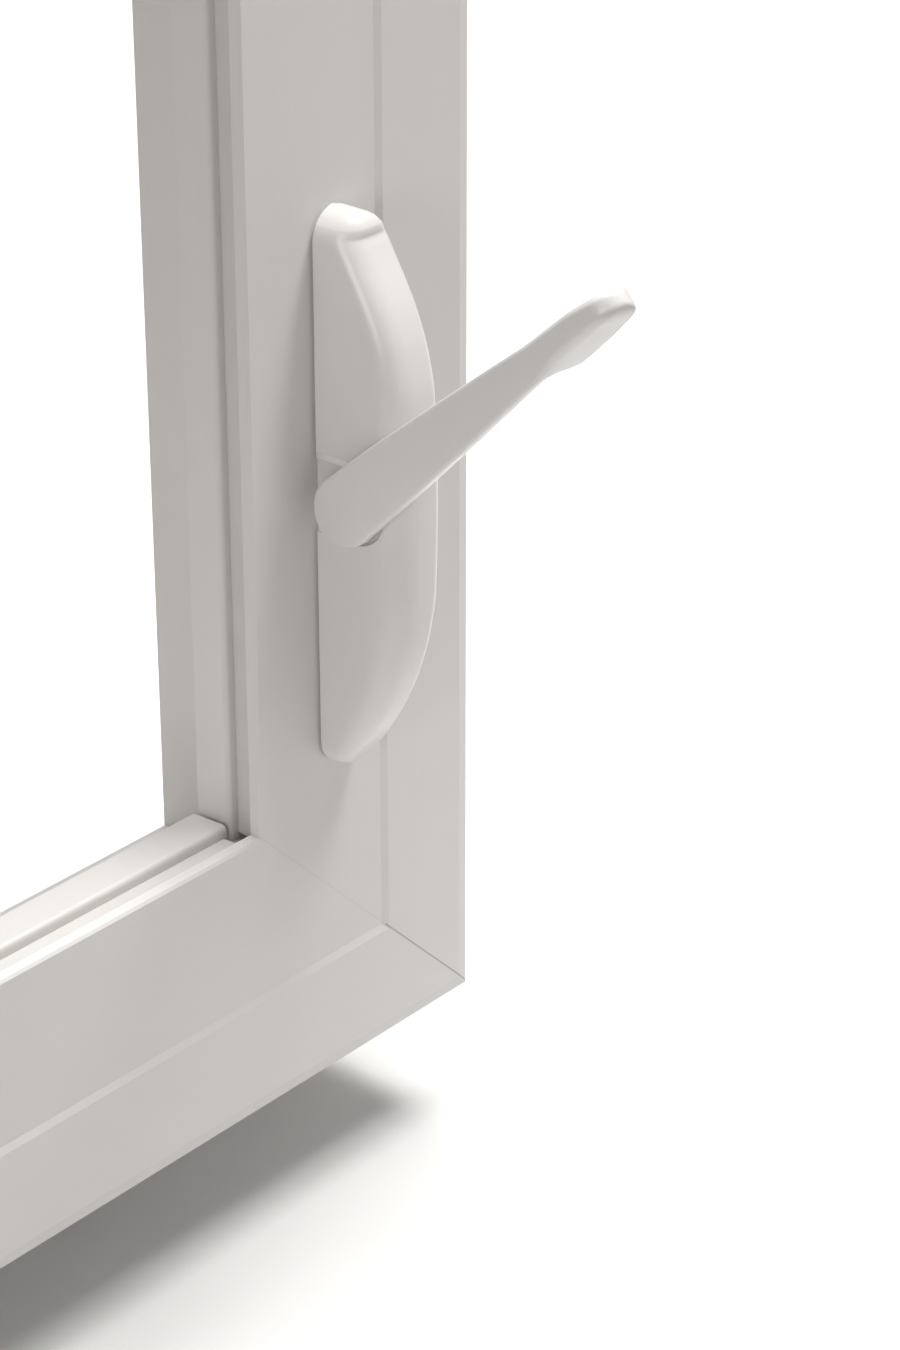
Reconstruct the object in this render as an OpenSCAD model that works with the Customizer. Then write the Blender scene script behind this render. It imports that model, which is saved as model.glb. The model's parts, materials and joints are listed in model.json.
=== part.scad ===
// Outswing casement window: mitred frame, open sash on concealed sliding hinges,
// crank operator with a folding pair of arms, and a lever lock that drives a tie bar.
// X runs across the window, Y runs from the room to the outdoors, Z is up.
// The origin is the middle of the window, in the plane where the nailing fin meets the wall.

/* [Frame] */
// Outside width of the frame
frame_w = 610; // [580:10:760]
// Outside height of the frame
frame_h = 914; // [800:2:1220]
// Depth of the frame, from the room face to the outdoor edge
frame_d = 73; // [73:1:80]
// Width of the front face, from the outer edge to the opening
face_w = 72; // [72:0.5:74]
// Height of the pocket floor above the outer edge
pocket_h = 31.5; // [30:0.5:31.5]
// Wall thickness of the hollow vinyl profiles
wall = 2.4; // [1.8:0.1:2.6]
// Distance from the room face back to the nailing fin
fin_setback = 46; // [44:1:50]
// Width of the nailing fin
fin_w = 32; // [30:1:36]

/* [Sash] */
// Gap from the frame's outer edge to the sash, at the two jambs
sash_side = 42; // [42:0.5:44]
// Gap from the frame's outer edge to the sash, at head and sill
sash_end = 57; // [57:0.5:59]
// Thickness of the sash
sash_t = 40; // [40:1:42]
// Thickness of each pane of glass
pane_t = 3; // [3:0.5:4]
// How far the sash stands open
open_angle = 60; // [0:5:80]

/* [Hinge and operator] */
// Length of a support arm between its two pivots
arm_len = 80; // [70:1:80]
// Length of the operator's driven arm between its two pivots
drive_len = 130; // [110:5:130]
// Distance from the crank's axis to its knob
crank_len = 60; // [50:1:70]

/* [Lock] */
// Height of the lever's pivot above the frame's bottom edge
lever_z = 151; // [140:1:300]
// Angle of the lever above the horizontal
lever_angle = 42.7; // [0:0.1:42.7]
// Length of the lock's housing
housing_len = 134; // [130:1:150]
// Thickness of the lock's housing
housing_t = 14; // [14:0.5:16]
// How far the housing stands out from the frame
housing_out = 25.5; // [24.5:0.5:27]

/* [Hidden] */
$fn = 32;
eps = 0.01;

// Frame profile, as distances d back from the room face and h in from the outer edge
edge_r = 1.5;        // rounding of the outer front edge
corner_r = 2;        // rounding of the four outer corners, left by the weld's cleaning
ease_d = 0.75;       // the face eases back this much
ease_h = 4.2;        // over this width before that edge
band_step = 0.8;     // the outer band of the face stands this much prouder
band_h = 29.7;       // where the proud band ends
ramp_h = 31.4;       // where its ramp ends
lip_d = 3.0;         // depth of the lip round the opening
lip_rise = 0.8;      // how far the lip rises over its depth
groove_h = 69;       // floor of the groove behind the lip, and seat of the stops
stop_d = 8.4;        // front of the snap-in stops
box_d = 16.8;        // back of the frame's front box
stop_back = 18.8;    // back of the snap-in stops
stop_h = 74;         // top of the stops at their nose
stop_low = 73.4;     // top of the stops at their back
stop_leg = 60;       // lowest reach of the stops' back leg
nose_r = 1.3;        // rounding of the stops' nose
seal_r = 2.8;
seal_h = 66;
butt_gap = 1;        // gap where head and sill stops meet the jamb stops
fin_t = 1.6;
fin_leg = 12;
fin_hole_r = 2.5;
fin_hole_out = 18;   // fin holes, outward from the frame's outer edge
jamb_hole_z = 300;
rail_hole_x = 200;

// Sash: its closed place, and the linkage that carries it
sash_w = frame_w - 2 * sash_side;
sash_h = frame_h - 2 * sash_end;
sash_d = stop_back + 3.2;
sash_y = sash_d - fin_setback;
bottom = -frame_h / 2;
track_y = sash_y + sash_t / 2;
shoe_x = -sash_w / 2 + 3;            // shoe pivot with the sash closed
pivot_x = shoe_x + 2 * arm_len;      // fixed pivot of the support arms
glass_h = 40;                        // glass edge, in from the sash's outer edge
rebate_h = 36;
flange_h = 56;
flange_d = sash_t - 7;
pane_out = flange_d - 1;             // outdoor face of the outdoor pane
pane_in = 12;                        // room face of the indoor pane
gasket_low = 48;

// Levels of the hinge and operator parts, above the frame's bottom edge
track_floor = pocket_h + 1.8;
track_top = 36.3;
arm_z = 37.5;
arm_t = 2.5;
gear_z = 40.5;
gear_t = 5;
drive_z = 48;
link_z = 51;
bar_z = sash_end - 3;
pin_r = 4;
pin_gap = 0.05;
stud_r = 3.5;
open_gap = 0.1;                      // clearance where the linkage is left open
link_len = arm_len;
gear_r = 20;
worm_r = 4.5;
worm_z = gear_z + gear_t / 2;
worm_x = pivot_x + gear_r + worm_r + 0.7;
shaft_r = 3;
cover_out = 20;
cover_z = 52;                         // middle of the cover, on the inner band of the face
crank_angle = 205;
knob_out = 22;

// Lock
lock_x = frame_w / 2 - 45.1;         // middle of the housing's thickness
lock_z = bottom + lever_z;
face_y = band_step - fin_setback;    // the part of the face that carries the lock
pivot_out = 11.5;                    // pivot, out from that face
housing_drop = 1.6;                  // middle of the housing, below the pivot
crown_up = 3;                        // crown of the housing's bow, above its middle
hub_r = 8.2;
neck_r = 3.9;
neck_at = 73;
lever_reach = 99.5;
pad_w = 11;                          // width of the thumb pad
pad_r = 5.5;                         // rounding of its tip
lever_t = 3.9;
hub_recess = 1.2;
pinion_teeth = 12;
tooth_mod = 1.25;
pinion_r = pinion_teeth * tooth_mod / 2;
lock_turn = 134;
stroke = pinion_r * lock_turn * PI / 180;
bar_t = 2.5;
bar_w = 12;
bar_d = 28;
bar_h = pocket_h + 0.4;
stud_at = [230, 500, 770];           // locking studs, above the frame's bottom edge, when locked
guide_at = [180, 300, 430, 570, 700, 830];

vinyl = [0.86, 0.85, 0.83];
steel = [0.62, 0.63, 0.65];
black = [0.12, 0.12, 0.13];
clear = [0.75, 0.85, 0.88, 0.35];

// ---- helpers ----

// Points of a round stretch of an outline
function arc(cx, cy, r, from, to, steps = 6) =
    [for (i = [0 : steps]) let (a = from + (to - from) * i / steps) [cx + r * cos(a), cy + r * sin(a)]];

// A bar along X, middle at the origin, whose section is the 2D child: x to Y and y to Z
module along_x(len) translate([-len / 2, 0, 0]) rotate([90, 0, 90]) linear_extrude(len) children();

// The same bar with both ends mitred. low and high bound its section in Z, near and far in Y
module mitred(len, low, high, near, far) intersection() {
    along_x(len + 2 * abs(low)) children();
    translate([0, far + 1, 0]) rotate([90, 0, 0]) linear_extrude(far - near + 2)
        polygon([[-len / 2 + low, low], [len / 2 - low, low],
                 [len / 2 - high, high], [-len / 2 + high, high]]);
}

// Places for the four sides of a rectangle w by h: children stand with their outer edge outward
module at_sill(h) translate([0, 0, -h / 2]) children();
module at_head(h) mirror([0, 0, 1]) at_sill(h) children();
module at_lock_side(w) translate([w / 2, 0, 0]) rotate([0, -90, 0]) children();
module at_hinge_side(w) mirror([1, 0, 0]) at_lock_side(w) children();

module four_sides(w, h, low, high, near, far) {
    at_sill(h) mitred(w, low, high, near, far) children();
    at_head(h) mitred(w, low, high, near, far) children();
    at_lock_side(w) mitred(h, low, high, near, far) children();
    at_hinge_side(w) mitred(h, low, high, near, far) children();
}

module in_frame() translate([0, -fin_setback, 0]) children();
module in_sash() swung(open_angle) translate([0, sash_y, 0]) children();

// Moves a closed sash part to where it is when the sash has turned by a: the shoe slides, the sash turns
module swung(a) translate([shoe_x + 2 * arm_len * (1 - cos(a)), track_y, 0]) rotate([0, 0, a])
    translate([-shoe_x, -track_y, 0]) children();

module upright(r, from, to) translate([0, 0, from]) cylinder(r = r, h = to - from);

// A flat link from the origin along +X, holes left out
module strap(len, half, z, t) translate([0, 0, z]) {
    cylinder(r = half, h = t);
    translate([len, 0, 0]) cylinder(r = half, h = t);
    translate([0, -half, 0]) cube([len, 2 * half, t]);
}

// A round-headed screw along +Y with its head at the origin
module screw(len, shank = 1.8, head = 3.6) rotate([-90, 0, 0]) {
    translate([0, 0, -1.2]) cylinder(r1 = head * 0.7, r2 = head, h = 1.2);
    cylinder(r = shank, h = len);
}

// ---- frame ----

module frame_outline() polygon(concat(
    arc(ease_d + 0.97 * edge_r, edge_r, edge_r, 270, 195),
    [[0, ease_h], [0, band_h], [band_step, ramp_h], [band_step, face_w - 0.6], [band_step + 0.6, face_w],
     [lip_d, face_w + lip_rise], [lip_d, groove_h], [box_d, groove_h],
     [box_d, pocket_h], [frame_d, pocket_h], [frame_d, 0]]));

module frame_section() difference() {
    frame_outline();
    translate([band_step + wall, wall]) square([box_d - band_step - 2 * wall, pocket_h - 2 * wall]);
    translate([band_step + wall, pocket_h]) square([box_d - band_step - 2 * wall, groove_h - wall - pocket_h]);
    translate([box_d, wall]) square([27, pocket_h - 2 * wall]);
    translate([box_d + 27 + wall, wall]) square([frame_d - box_d - 27 - 2 * wall, pocket_h - 2 * wall]);
}

module frame_member(len) intersection() {
    mitred(len, 0, face_w + lip_rise, 0, frame_d) frame_section();
    translate([0, frame_d + 1, 0]) rotate([90, 0, 0]) linear_extrude(frame_d + 2) polygon(concat(
        arc(corner_r - len / 2, corner_r, corner_r, 180, 270),
        arc(len / 2 - corner_r, corner_r, corner_r, 270, 360),
        [[len / 2, 2 * face_w], [-len / 2, 2 * face_w]]));
}

module frame_sill() color(vinyl) difference() {
    in_frame() at_sill(frame_h) frame_member(frame_w);
    // passage for the crank's shaft, and the two operator screws
    translate([worm_x, 0, bottom + worm_z]) rotate([90, 0, 0]) cylinder(r = shaft_r + 0.8, h = fin_setback + 1);
    for (x = operator_screw_x) translate([x, face_y - 1, bottom + cover_z]) rotate([-90, 0, 0])
        cylinder(r = 1.8, h = wall + 1.5);
}
module frame_head() color(vinyl) in_frame() at_head(frame_h) frame_member(frame_w);
module frame_hinge_jamb() color(vinyl) in_frame() at_hinge_side(frame_w) frame_member(frame_h);
module frame_lock_jamb() color(vinyl) difference() {
    in_frame() at_lock_side(frame_w) frame_member(frame_h);
    // slots that the yoke travels in, through the face and through the box's back
    translate([lock_x - 2.5, face_y - 1, lock_z - slot_half]) cube([5, wall + 2, 2 * slot_half]);
    translate([frame_w / 2 - 38.2, box_d - wall - 1 - fin_setback, lock_z - slot_half])
        cube([4.6, wall + 2, 2 * slot_half]);
    for (z = lock_screw_z) translate([lock_x, face_y - 1, lock_z + z]) rotate([-90, 0, 0])
        cylinder(r = 1.8, h = wall + 1.5);
}

// Snap-in stop: sits on the front box and folds down its back
module stop_section() polygon(concat(
    [[stop_d, groove_h]],
    arc(stop_d + nose_r, stop_h - nose_r, nose_r, 180, 90),
    [[stop_back, stop_low], [stop_back, stop_leg], [box_d, stop_leg], [box_d, groove_h]]));

module jamb_stop() intersection() {
    along_x(frame_h - 2 * stop_leg) stop_section();
    // the back leg is notched at the corners, where head and sill stops pass under
    union() {
        translate([-frame_h / 2, stop_d - 1, groove_h]) cube([frame_h, stop_back, stop_h]);
        translate([-frame_h / 2 + stop_h + butt_gap, stop_d - 1, stop_leg - 1])
            cube([frame_h - 2 * (stop_h + butt_gap), stop_back, stop_h]);
    }
    translate([-frame_h / 2 + groove_h, 0, 0]) cube([frame_h - 2 * groove_h, frame_d, stop_h + 1]);
}
module rail_stop() intersection() {
    along_x(frame_w - 2 * (stop_h + butt_gap)) stop_section();
    translate([-frame_w / 2, 0, 0]) cube([frame_w, frame_d, stop_h + 1]);
}
module stop_sill() color(vinyl) in_frame() at_sill(frame_h) rail_stop();
module stop_head() color(vinyl) in_frame() at_head(frame_h) rail_stop();
module stop_lock_jamb() color(vinyl) in_frame() at_lock_side(frame_w) jamb_stop();
module stop_hinge_jamb() color(vinyl) in_frame() at_hinge_side(frame_w) jamb_stop();

// Soft strip in the groove between the lip and the stops, stopped short of the corners
module groove_gasket() color(vinyl) in_frame() {
    for (side = [0, 1]) mirror([0, 0, side]) at_sill(frame_h)
        along_x(frame_w - 2 * (face_w + 4.5)) strip_section();
    for (side = [0, 1]) mirror([side, 0, 0]) at_lock_side(frame_w)
        along_x(frame_h - 2 * (face_w - 0.8)) strip_section();
}
module strip_section() polygon([[lip_d, groove_h], [stop_d, groove_h], [stop_d, groove_h + 2.2],
    [stop_d - 0.6, groove_h + 2.5], [lip_d + 0.4, groove_h + 2.9], [lip_d, groove_h + 2.6]]);

module frame_weatherseal() color(black) in_frame() {
    inset = stop_h + butt_gap + 1;
    for (side = [0, 1]) mirror([0, 0, side]) at_sill(frame_h) along_x(frame_w - 2 * inset) seal_section();
    for (side = [0, 1]) mirror([side, 0, 0]) at_lock_side(frame_w) along_x(frame_h - 2 * inset) seal_section();
}
module seal_section() intersection() {
    translate([stop_back, seal_h]) circle(seal_r);
    translate([stop_back, seal_h - seal_r]) square([seal_r, 2 * seal_r]);
}

// Nailing fins: L strips, plate outward and a short leg along the frame's outer side
module fin_strip(len) {
    translate([-len / 2, 0, -fin_w]) cube([len, fin_t, fin_w]);
    translate([-frame_w / 2 + 20, 0, -fin_t]) cube([frame_w - 40, fin_leg, fin_t]);
}
module fin_hole() rotate([90, 0, 0]) cylinder(r = fin_hole_r, h = 4 * fin_t, center = true);
module nailing_fins() color(vinyl) {
    for (side = [0, 1]) mirror([0, 0, side]) at_sill(frame_h) difference() {
        fin_strip(frame_w + 2 * fin_w);
        for (x = [-rail_hole_x, 0, rail_hole_x]) translate([x, 0, -fin_hole_out]) fin_hole();
    }
    for (side = [0, 1]) mirror([side, 0, 0]) at_lock_side(frame_w) difference() {
        fin_strip(frame_h);
        for (x = [-jamb_hole_z, 0, jamb_hole_z]) translate([x, 0, -fin_hole_out]) fin_hole();
    }
}

// ---- sash ----

module sash_section() difference() {
    polygon([[0, 0], [sash_t, 0], [sash_t, flange_h - 3], [sash_t - 3, flange_h],
             [flange_d, flange_h], [flange_d, rebate_h], [0, rebate_h]]);
    translate([wall, wall]) square([sash_t / 2 - 1.5 * wall, rebate_h - 2 * wall]);
    translate([sash_t / 2 + wall / 2, wall]) square([sash_t / 2 - 1.5 * wall, rebate_h - 2 * wall]);
}
module sash_member(len) mitred(len, 0, flange_h, 0, sash_t) sash_section();
module sash_bottom_rail() color(vinyl) in_sash() at_sill(sash_h) sash_member(sash_w);
module sash_top_rail() color(vinyl) in_sash() at_head(sash_h) sash_member(sash_w);
module sash_hinge_stile() color(vinyl) in_sash() at_hinge_side(sash_w) sash_member(sash_h);
module sash_lock_stile() color(vinyl) in_sash() at_lock_side(sash_w) sash_member(sash_h);

module bead_section() polygon([[0, rebate_h], [pane_in - 1, rebate_h], [pane_in - 1, flange_h],
    [pane_in - 4, flange_h], [0, rebate_h + 10]]);
module bead(len) mitred(len, rebate_h, flange_h, 0, pane_in) bead_section();
module glazing_bead_bottom() color(vinyl) in_sash() at_sill(sash_h) bead(sash_w);
module glazing_bead_top() color(vinyl) in_sash() at_head(sash_h) bead(sash_w);
module glazing_bead_hinge() color(vinyl) in_sash() at_hinge_side(sash_w) bead(sash_h);
module glazing_bead_lock() color(vinyl) in_sash() at_lock_side(sash_w) bead(sash_h);

module pane(d) color(clear) in_sash() translate([-sash_w / 2 + glass_h, d, -sash_h / 2 + glass_h])
    cube([sash_w - 2 * glass_h, pane_t, sash_h - 2 * glass_h]);
module pane_indoor() pane(pane_in);
module pane_outdoor() pane(pane_out - pane_t);

module glass_spacer() color(steel) in_sash()
    four_sides(sash_w, sash_h, glass_h + 1, glass_h + 8, pane_in, pane_out)
        translate([pane_in + pane_t, glass_h + 1]) square([pane_out - pane_in - 2 * pane_t, 7]);

module gasket(d) color(black) in_sash()
    four_sides(sash_w, sash_h, gasket_low, flange_h, d, d + 1)
        translate([d, gasket_low]) square([1, flange_h - gasket_low]);
module gasket_indoor() gasket(pane_in - 1);
module gasket_outdoor() gasket(pane_out);

module setting_blocks() color(black) in_sash() for (x = [-1, 1])
    translate([x * sash_w / 4 - 40, pane_in, -sash_h / 2 + rebate_h])
        cube([80, pane_out - pane_in, glass_h - rebate_h]);

// ---- sliding hinges ----

track_from = -frame_w / 2 + pocket_h + 1;
track_to = pivot_x + 13;
track_screw_x = [track_from + 12, (track_from + track_to) / 2, track_to - 26];

module track() difference() {
    union() {
        translate([track_from, -11, pocket_h]) cube([track_to - track_from, 22, track_floor - pocket_h]);
        for (side = [-1, 1]) {
            translate([track_from, side * 10.1 - 0.9, pocket_h])
                cube([track_to - track_from, 1.8, track_top - pocket_h]);
            translate([track_from, side * 8.75 - 2.25, track_top - 1.2])
                cube([track_to - track_from, 4.5, 1.2]);
        }
    }
    // room for the pivot boss, and the screw holes
    translate([pivot_x, 0, 0]) upright(8.3, track_floor, track_top + 1);
    for (x = track_screw_x) translate([x, 0, pocket_h - 1]) cylinder(r = 1.9, h = 4);
}
module on_track() translate([0, track_y, bottom]) children();
module hinge_track_lower() color(steel) on_track() track();
module hinge_track_upper() color(steel) mirror([0, 0, 1]) on_track() track();

// Pins that the support arms turn on. The lower one is longer and carries the operator's gear arm too
module track_pin(top) translate([pivot_x, 0, 0]) {
    upright(8, track_floor, arm_z - 0.2);
    upright(pin_r, arm_z - 0.2, top);
    upright(pin_r + 1.8, top, top + 0.8);
}
module track_pivot_pins() color(steel) {
    on_track() track_pin(drive_z + arm_t + 0.3);
    mirror([0, 0, 1]) on_track() track_pin(arm_z + arm_t + 0.3);
}

module track_screws() color(steel) for (end = [0, 1]) mirror([0, 0, end]) on_track()
    for (x = track_screw_x) translate([x, 0, track_floor]) {
        upright(1.8, pocket_h - track_floor - wall - 3, 0);
    }

module support_arm() translate([pivot_x, 0, 0]) rotate([0, 0, 180 - open_angle]) difference() {
    strap(arm_len, 8, arm_z, arm_t);
    upright(pin_r + pin_gap, 0, 60);
    translate([arm_len, 0, 0]) upright(pin_r + open_gap, 0, 60);
}
module support_arm_lower() color(steel) on_track() support_arm();
module support_arm_upper() color(steel) mirror([0, 0, 1]) on_track() support_arm();

// Where the sash's shoe pivot stands while the sash is open
rest_shoe_x = pivot_x - 2 * arm_len * cos(open_angle);

module shoe() translate([rest_shoe_x, 0, 0]) difference() {
    union() {
        translate([-9, -8.8, track_floor + 0.3]) cube([18, 17.6, 1.4]);
        translate([-9, -6.1, track_floor + 0.3]) cube([18, 12.2, 3.5]);
    }
    upright(pin_r + open_gap, 0, 60);
}
module hinge_shoe_lower() color(black) on_track() shoe();
module hinge_shoe_upper() color(black) mirror([0, 0, 1]) on_track() shoe();

// Sash bar: screwed under the rail, carrying the shoe pin and the support arm pin
bar_screw_x = [shoe_x + 22, shoe_x + 50, shoe_x + arm_len + 28];
module sash_bar() swung_level() difference() {
    translate([shoe_x - 2, -9, bar_z]) cube([arm_len + 44, 18, sash_end - bar_z]);
    for (x = bar_screw_x) translate([x, 0, bar_z - 1]) cylinder(r = 1.9, h = 6);
}
module swung_level() translate([0, 0, bottom]) swung(open_angle) translate([0, track_y, 0]) children();
module sash_bar_lower() color(steel) sash_bar();
module sash_bar_upper() color(steel) mirror([0, 0, 1]) sash_bar();
module sash_bar_pins() color(steel) for (end = [0, 1]) mirror([0, 0, end]) swung_level() {
    translate([shoe_x, 0, 0]) {
        upright(6, track_floor + 4.1, bar_z);
        upright(pin_r, track_floor + 0.4, track_floor + 4.1);
    }
    translate([shoe_x + arm_len, 0, 0]) {
        upright(7, arm_z + arm_t + 0.3, bar_z);
        upright(pin_r, arm_z, arm_z + arm_t + 0.3);
    }
}
module sash_bar_screws() color(steel) for (end = [0, 1]) mirror([0, 0, end]) swung_level()
    for (x = bar_screw_x) translate([x, 0, 0]) {
        upright(1.8, bar_z - 0.4, sash_end + wall + 3);
        upright(3.4, bar_z - 1.6, bar_z - 0.4);
    }

// ---- operator ----

operator_screw_x = [worm_x - 30, worm_x + 30];
gear_teeth = 32;

// The gear sector, its boss and the driven arm are one riveted piece
module operator_gear_arm() color(steel) on_track() translate([pivot_x, 0, 0]) rotate([0, 0, open_angle])
    difference() {
        union() {
            upright(9, arm_z + arm_t + 0.2, drive_z);
            strap(drive_len, 9, drive_z, arm_t);
            translate([0, 0, gear_z]) linear_extrude(gear_t) sector();
            translate([drive_len, 0, 0]) upright(stud_r, drive_z, link_z + arm_t + 0.4);
        }
        upright(pin_r + pin_gap, 0, 60);
    }
module sector() {
    polygon(concat([[0, 0]], arc(0, 0, gear_r - 1, -88, 8, 12)));
    for (i = [0 : 8]) rotate(-85 + i * 360 / gear_teeth)
        polygon([[gear_r - 1.4, -1.2], [gear_r + 0.4, -0.6], [gear_r + 0.4, 0.6], [gear_r - 1.4, 1.2]]);
}

module operator_link() color(steel) on_track() translate([pivot_x, 0, 0])
    rotate([0, 0, open_angle]) translate([drive_len, 0, 0]) rotate([0, 0, 180 - 2 * open_angle])
        difference() {
            strap(link_len, 8, link_z, arm_t);
            upright(stud_r + pin_gap, 0, 60);
            translate([link_len, 0, 0]) upright(stud_r + open_gap, 0, 60);
        }

module operator_sash_bracket() color(steel) swung_level() translate([shoe_x + arm_len + drive_len, 0, 0])
    union() {
        translate([-26, -10, bar_z]) cube([52, 20, sash_end - bar_z]);
        upright(stud_r, link_z - 0.2, bar_z);
    }

// Gear case: a floor plate and two bearing blocks for the worm
module operator_base() color(steel) difference() {
    translate([0, -fin_setback, bottom]) union() {
        translate([worm_x - 11, 19, pocket_h]) cube([22, 43, 3]);
        translate([worm_x - 8.5, 19, pocket_h]) cube([17, 8, 15.5]);
        translate([worm_x - 8.5, 55, pocket_h]) cube([17, 6, 15.5]);
        translate([worm_x - 35, band_step - 11, ramp_h + 8]) cube([70, 11, 24]);
    }
    translate([worm_x, 30, bottom + worm_z]) rotate([90, 0, 0]) cylinder(r = shaft_r + pin_gap, h = 120);
    for (x = operator_screw_x) translate([x, face_y - 12, bottom + cover_z]) rotate([-90, 0, 0])
        cylinder(r = 1.9, h = 13);
}
module operator_screws() color(steel) for (x = operator_screw_x)
    translate([x, face_y - 11.2, bottom + cover_z]) screw(15.5);

// Cover: a shell with rounded ends over the front of the gear case
module cover_body(grow, out) translate([worm_x, face_y, bottom + cover_z]) rotate([90, 0, 0])
    linear_extrude(out) {
        for (x = [-1, 1]) translate([x * 32, 0]) circle(r = 18 + grow);
        square([64, 36 + 2 * grow], center = true);
    }
module operator_cover() color(vinyl) difference() {
    cover_body(0, cover_out);
    translate([0, eps, 0]) cover_body(-2, cover_out - 2);
    translate([worm_x, face_y, bottom + worm_z]) rotate([90, 0, 0]) cylinder(r = 7, h = 30);
}

module worm_shaft() color(steel) translate([worm_x, 0, bottom + worm_z]) {
    shaft_from = face_y - cover_out - 11;
    translate([0, shaft_from, 0]) rotate([-90, 0, 0]) cylinder(r = shaft_r, h = 60 - fin_setback - shaft_from);
    translate([0, 28 - fin_setback, 0]) rotate([-90, 0, 0]) rotate_extrude() worm_section();
}
module worm_section() polygon(concat([[0, 0]],
    [for (i = [0 : 10], s = [[0, worm_r - 1], [0.8, worm_r], [1.6, worm_r], [2.4, worm_r - 1]])
        [s[1], i * 2.4 + s[0] * 0.999]], [[0, 26.4]]));

// Crank: hub, arm and knob, turning in front of the cover
crank_y = face_y - cover_out - 1;
module at_crank() translate([worm_x, crank_y, bottom + worm_z]) children();
module crank_handle() color(vinyl) at_crank() difference() {
    union() {
        rotate([90, 0, 0]) cylinder(r = 9, h = 14);
        rotate([90, 0, 0]) rotate([0, 0, crank_angle]) {
            translate([0, -5, 7]) cube([crank_len, 10, 7]);
            translate([crank_len, 0, 7]) cylinder(r = 7, h = 7);
            translate([crank_len, 0, 14]) cylinder(r = 3, h = knob_out);
        }
    }
    translate([0, 1, 0]) rotate([90, 0, 0]) cylinder(r = shaft_r + 0.02, h = 11);
    rotate([0, 90 - crank_angle, 0]) translate([0, -3.5, 0]) cylinder(r = 1.5, h = 12);
}
module crank_set_screw() color(steel) at_crank() rotate([0, 90 - crank_angle, 0])
    translate([0, -3.5, shaft_r + 0.3]) cylinder(r = 1.5, h = 5);
module crank_knob() color(vinyl) at_crank() rotate([90, 0, 0]) rotate([0, 0, crank_angle])
    translate([crank_len, 0, 14.5]) rotate_extrude() polygon(concat(
        [[3.05, 0], [6, 0]], arc(5, 8, 3, -30, 30), arc(4, knob_out - 2, 3, 0, 90),
        [[0, knob_out + 1], [0, knob_out], [3.05, knob_out]]));

// ---- lock ----

slot_half = stroke / 2 + 7;
rack_half = 28;                      // half the length of the rack's way through the base
lock_screw_z = [-50, 50];
housing_half = housing_len / 2;

module at_lock() translate([lock_x, face_y, lock_z]) children();

// Side outline of the housing: a shallow bow, flat against the frame
function bow(z) = housing_out * (1 - pow(abs(z - crown_up) / (housing_half + 7), 3));
module bow_side(off) polygon(concat([[0, -housing_half]],
    [for (i = [-12 : 12]) let (z = (housing_half - off) * i / 12) [-(bow(z) - off), z]],
    [[0, housing_half]]));

// Footprint of the housing: a slot shape
module footprint(off) {
    r = housing_t / 2 - off;
    for (z = [-1, 1]) translate([0, z * (housing_half - housing_t / 2)]) circle(r = r);
    square([2 * r, housing_len - housing_t], center = true);
}
module housing_body(off) intersection() {
    rotate([90, 0, 0]) linear_extrude(housing_out + 1) footprint(off);
    translate([-housing_t, 0, 0]) rotate([90, 0, 90]) linear_extrude(2 * housing_t) bow_side(off);
}
module lock_housing() color(vinyl) at_lock() difference() {
    translate([0, 0, -housing_drop]) housing_body(0);
    translate([0, eps, -housing_drop]) housing_body(2);
    // bore and shallow recess for the lever's hub
    translate([-housing_t / 2 - 1, -pivot_out, 0]) rotate([0, 90, 0]) cylinder(r = pin_r + 0.1, h = 5);
    translate([-housing_t / 2 - 1, -pivot_out, -hub_r - 0.4]) cube([1 + hub_recess, pivot_out + eps, 2 * hub_r + 0.8]);
    translate([-housing_t / 2 - 1, -pivot_out, 0]) rotate([0, 90, 0]) cylinder(r = hub_r + 0.4, h = 1 + hub_recess);
}

module lock_base() color(steel) at_lock() difference() {
    translate([-4.9, -1.6, -58]) cube([9.8, 1.6, 114]);
    translate([-3.3, -3, -rack_half - 0.5]) cube([6.6, 5, 2 * rack_half + 1]);
    for (z = lock_screw_z) translate([0, 1, z]) rotate([90, 0, 0]) cylinder(r = 1.9, h = 4);
}
module lock_screws() color(steel) at_lock() for (z = lock_screw_z) translate([0, -1.7, z]) screw(6, 1.8, 3.2);

// Lever: a tapered flat bar from the hub to the neck, then a wider paddle
lever_x = -housing_t / 2 - 0.5 - lever_t;
module lock_lever() color(vinyl) at_lock() translate([0, -pivot_out, 0]) rotate([-lever_angle, 0, 0])
    difference() {
        union() {
            translate([lever_x, 0, 0]) rotate([90, 0, 90]) linear_extrude(lever_t) lever_side();
            translate([lever_x + 1, 0, 0]) rotate([0, 90, 0]) cylinder(r = 7.5, h = lever_t + hub_recess - 0.7);
            translate([0, 0, -4.6]) linear_extrude(9.2) paddle_plan();
        }
        translate([lever_x + 1.5, 0, 0]) rotate([0, 90, 0]) cylinder(r = 3.02, h = 10);
    }
module lever_side() {
    circle(hub_r);
    translate([-neck_at, 0]) circle(neck_r);
    lean = asin((hub_r - neck_r) / neck_at);
    polygon([[-hub_r * sin(lean), hub_r * cos(lean)], [-neck_at - neck_r * sin(lean), neck_r * cos(lean)],
             [-neck_at - neck_r * sin(lean), -neck_r * cos(lean)], [-hub_r * sin(lean), -hub_r * cos(lean)]]);
}
module paddle_plan() polygon(concat(
    [[lever_x, -neck_at + 4]],
    arc(lever_x + pad_r, -lever_reach + pad_r, pad_r, 180, 360, 12),
    [[lever_x + pad_w, -neck_at - 3], [lever_x + lever_t, -neck_at], [lever_x + lever_t, -neck_at + 4]]));

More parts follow.
